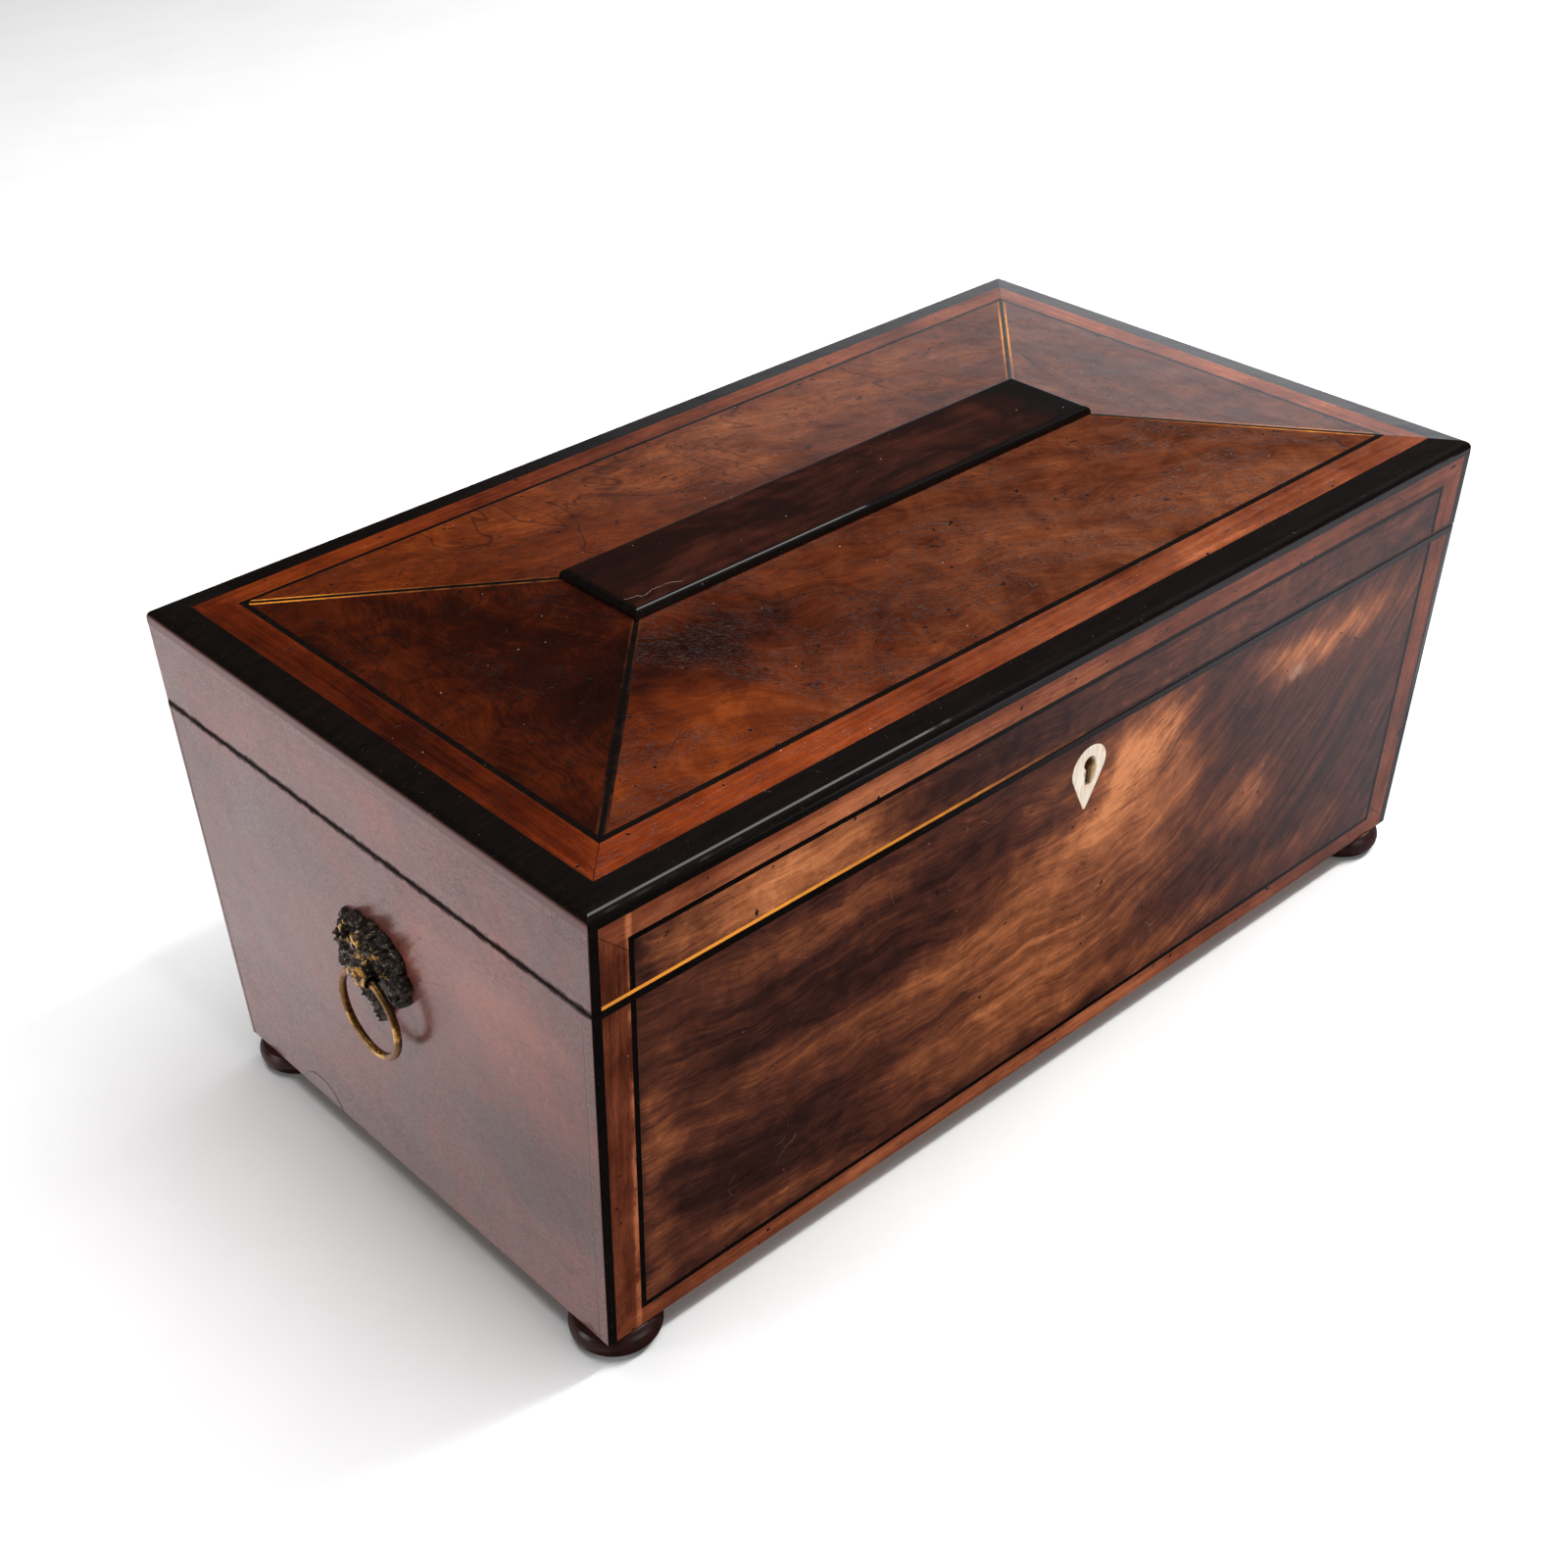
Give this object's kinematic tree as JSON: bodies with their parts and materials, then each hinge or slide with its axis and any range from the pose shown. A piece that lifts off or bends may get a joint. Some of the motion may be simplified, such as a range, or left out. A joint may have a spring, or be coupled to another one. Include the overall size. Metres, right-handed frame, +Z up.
{
  "type": "tea caddy",
  "caption": "Tapered wooden tea caddy with inlaid hipped lid on two hinges, box lock, ring handles, bun feet, lift-out canisters and a glass mixing bowl.",
  "frame": {"origin": "on the surface it stands on, under the middle of its bounding box", "axes": "+X along the case to the right seen from the front, front faces -Y, +Z up"},
  "size_m": [0.3184, 0.1756, 0.1483],
  "materials": {
    "carcass_mahogany": "oiled",
    "flame_mahogany": "french polished",
    "plain_mahogany": "french polished",
    "crossband": "french polished",
    "ebony": "french polished",
    "boxwood": "french polished",
    "dark_tablet": "french polished",
    "fitted_mahogany": "waxed",
    "turned_feet": "french polished",
    "bone": "polished",
    "brass": "satin",
    "old_brass": "tarnished",
    "dark_bronze": "tarnished with rubbed gilding",
    "steel": "satin",
    "glass": "clear",
    "velvet": "short pile"
  },
  "bodies": {
    "case": {"front_board": "carcass_mahogany", "back_board": "carcass_mahogany", "left_board": "carcass_mahogany", "right_board": "carcass_mahogany", "bottom_board": "carcass_mahogany", "front_veneer": "flame_mahogany", "front_string": "ebony", "front_crossband": "crossband", "case_edging": "ebony", "end_veneers": "plain_mahogany", "back_veneer": "plain_mahogany", "escutcheon": "bone", "lock_case": "brass", "lock_plate": "brass", "left_divider": "fitted_mahogany", "right_divider": "fitted_mahogany", "bowl_board": "fitted_mahogany", "foot_front_left": "turned_feet", "foot_front_right": "turned_feet", "foot_back_left": "turned_feet", "foot_back_right": "turned_feet", "hinge_case_leaves": "brass", "hinge_pins": "steel", "case_hinge_screws": "brass", "left_mask": "dark_bronze", "right_mask": "dark_bronze", "mask_pins": "old_brass"},
    "lid": {"hinge_lid_leaves": "brass", "lid_hinge_screws": "brass", "lid_front_rail": "carcass_mahogany", "lid_back_rail": "carcass_mahogany", "lid_left_rail": "carcass_mahogany", "lid_right_rail": "carcass_mahogany", "lid_roof_boards": "carcass_mahogany", "lid_ridge_board": "carcass_mahogany", "lid_lining": "velvet", "lid_edge_band": "ebony", "roof_crossband": "crossband", "roof_string": "ebony", "hip_ebony_lines": "ebony", "hip_boxwood_lines": "boxwood", "roof_veneers": "flame_mahogany", "tablet": "dark_tablet", "tablet_moulding": "ebony", "lid_front_veneer": "flame_mahogany", "lid_front_string": "ebony", "lid_front_crossband": "crossband", "lid_front_bead": "boxwood", "lid_side_veneers": "plain_mahogany", "lock_striker": "brass"},
    "lock_bolt": {"lock_bolt": "steel"},
    "left_ring": {"left_ring": "old_brass"},
    "right_ring": {"right_ring": "old_brass"},
    "mixing_bowl": {"mixing_bowl": "glass"},
    "left_canister": {"left_canister": "fitted_mahogany"},
    "left_canister_lid": {"left_canister_lid": "fitted_mahogany", "left_canister_knob": "bone"},
    "right_canister": {"right_canister": "fitted_mahogany"},
    "right_canister_lid": {"right_canister_lid": "fitted_mahogany", "right_canister_knob": "bone"}
  },
  "joints": [
    {"name": "lid_hinge", "type": "hinge", "parent": "case", "child": "lid", "pos_m": [0, 0.08618, 0.11165], "axis": [-1, 0, 0], "range_deg": [0, 100]},
    {"name": "bolt_slide", "type": "slide", "parent": "case", "child": "lock_bolt", "axis": [1, 0, 0], "range_m": [0, 0.0036]},
    {"name": "left_ring_swing", "type": "hinge", "parent": "case", "child": "left_ring", "pos_m": [-0.15644, 0, 0.0753], "axis": [0, 1, 0], "range_deg": [-3, 95]},
    {"name": "right_ring_swing", "type": "hinge", "parent": "case", "child": "right_ring", "pos_m": [0.15644, 0, 0.0753], "axis": [0, -1, 0], "range_deg": [-3, 95]},
    {"name": "left_canister_lift", "type": "slide", "parent": "case", "child": "left_canister", "axis": [0, 0, 1], "range_m": [0, 0.008]},
    {"name": "left_canister_lid_lift", "type": "slide", "parent": "left_canister", "child": "left_canister_lid", "axis": [0, 0, 1], "range_m": [0, 0.008]},
    {"name": "right_canister_lift", "type": "slide", "parent": "case", "child": "right_canister", "axis": [0, 0, 1], "range_m": [0, 0.008]},
    {"name": "right_canister_lid_lift", "type": "slide", "parent": "right_canister", "child": "right_canister_lid", "axis": [0, 0, 1], "range_m": [0, 0.008]},
    {"name": "bowl_lift", "type": "slide", "parent": "case", "child": "mixing_bowl", "axis": [0, 0, 1], "range_m": [0, 0.02]}
  ]
}
